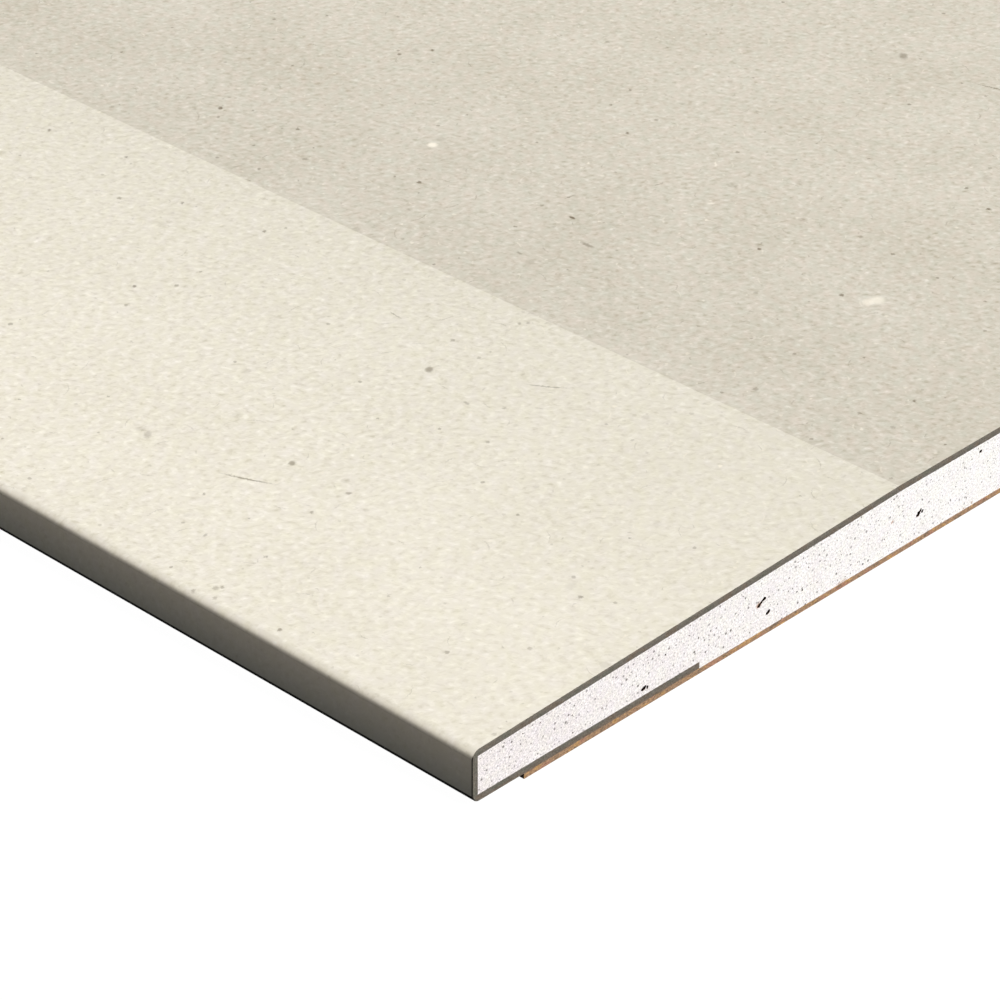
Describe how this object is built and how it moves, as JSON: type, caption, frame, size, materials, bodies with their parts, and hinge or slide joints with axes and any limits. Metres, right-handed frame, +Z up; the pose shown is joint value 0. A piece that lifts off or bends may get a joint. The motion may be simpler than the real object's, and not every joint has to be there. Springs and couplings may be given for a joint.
{
  "type": "drywall sheet",
  "caption": "Flat gypsum building board faced with paper on both sides, with tapered, paper-wrapped long edges and square-cut ends.",
  "frame": {"origin": "centre of the underside of the back paper, which lies on the floor", "axes": "+X along the sheet's length, +Y across its width, +Z up through its thickness, out of the face paper"},
  "size_m": [2.4, 1.2, 0.0125],
  "materials": {
    "gypsum": "cast gypsum, matt and finely porous, with small air voids where it is cut",
    "face_liner": "matt ivory paper with fine fibres and flecks, paler over the tapers",
    "back_liner": "matt brown recycled paper"
  },
  "bodies": {
    "root": {"gypsum_core": "gypsum", "face_paper": "face_liner", "back_paper": "back_liner"}
  },
  "joints": []
}
